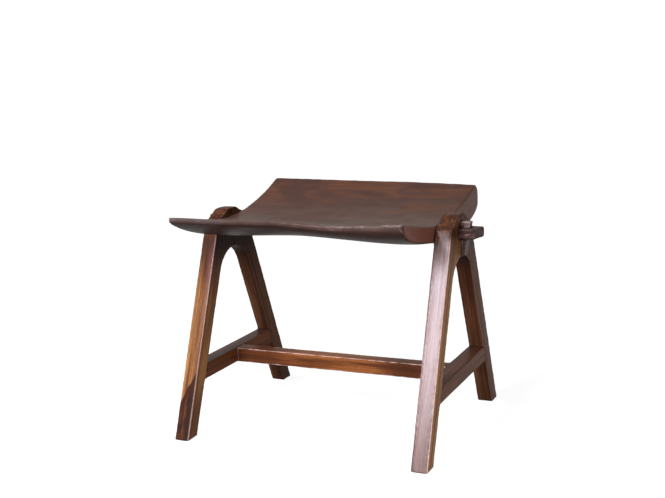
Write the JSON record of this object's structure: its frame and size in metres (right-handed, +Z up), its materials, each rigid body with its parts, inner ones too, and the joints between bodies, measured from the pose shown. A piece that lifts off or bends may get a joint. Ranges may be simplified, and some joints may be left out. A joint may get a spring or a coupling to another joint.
{
  "type": "trestle stool",
  "caption": "Dished wooden trestle stool on two A-shaped end frames joined by rails, its seat tenoned through the frames and locked by tapered keys.",
  "frame": {"origin": "on the floor under the middle of the stool", "axes": "+X along the seat from the left frame to the right frame, +Y from the front lip to the back lip, +Z up"},
  "size_m": [0.6432, 0.4746, 0.4997],
  "materials": {
    "seat_wood": "satin, dark red-brown stain",
    "leg_wood": "satin, red-brown stain, worn pale on the edges",
    "rail_wood": "satin, orange-brown stain",
    "key_wood": "rough, near-black brown",
    "dowel_wood": "bare"
  },
  "bodies": {
    "stool": {"seat": "seat_wood", "front_left_leg": "leg_wood", "rear_left_leg": "leg_wood", "front_right_leg": "leg_wood", "rear_right_leg": "leg_wood", "left_cross_rail": "rail_wood", "right_cross_rail": "rail_wood", "long_rail": "rail_wood", "left_apex_dowel_outer": "dowel_wood", "left_apex_dowel_inner": "dowel_wood", "left_apex_dowel_top": "dowel_wood", "right_apex_dowel_outer": "dowel_wood", "right_apex_dowel_inner": "dowel_wood", "right_apex_dowel_top": "dowel_wood"},
    "left_key_body": {"left_key": "key_wood"},
    "right_key_body": {"right_key": "key_wood"}
  },
  "joints": [
    {"name": "left_key_lift", "type": "slide", "parent": "stool", "child": "left_key_body", "axis": [0, 0, 1], "range_m": [0, 0.058]},
    {"name": "right_key_lift", "type": "slide", "parent": "stool", "child": "right_key_body", "axis": [0, 0, 1], "range_m": [0, 0.058]}
  ]
}
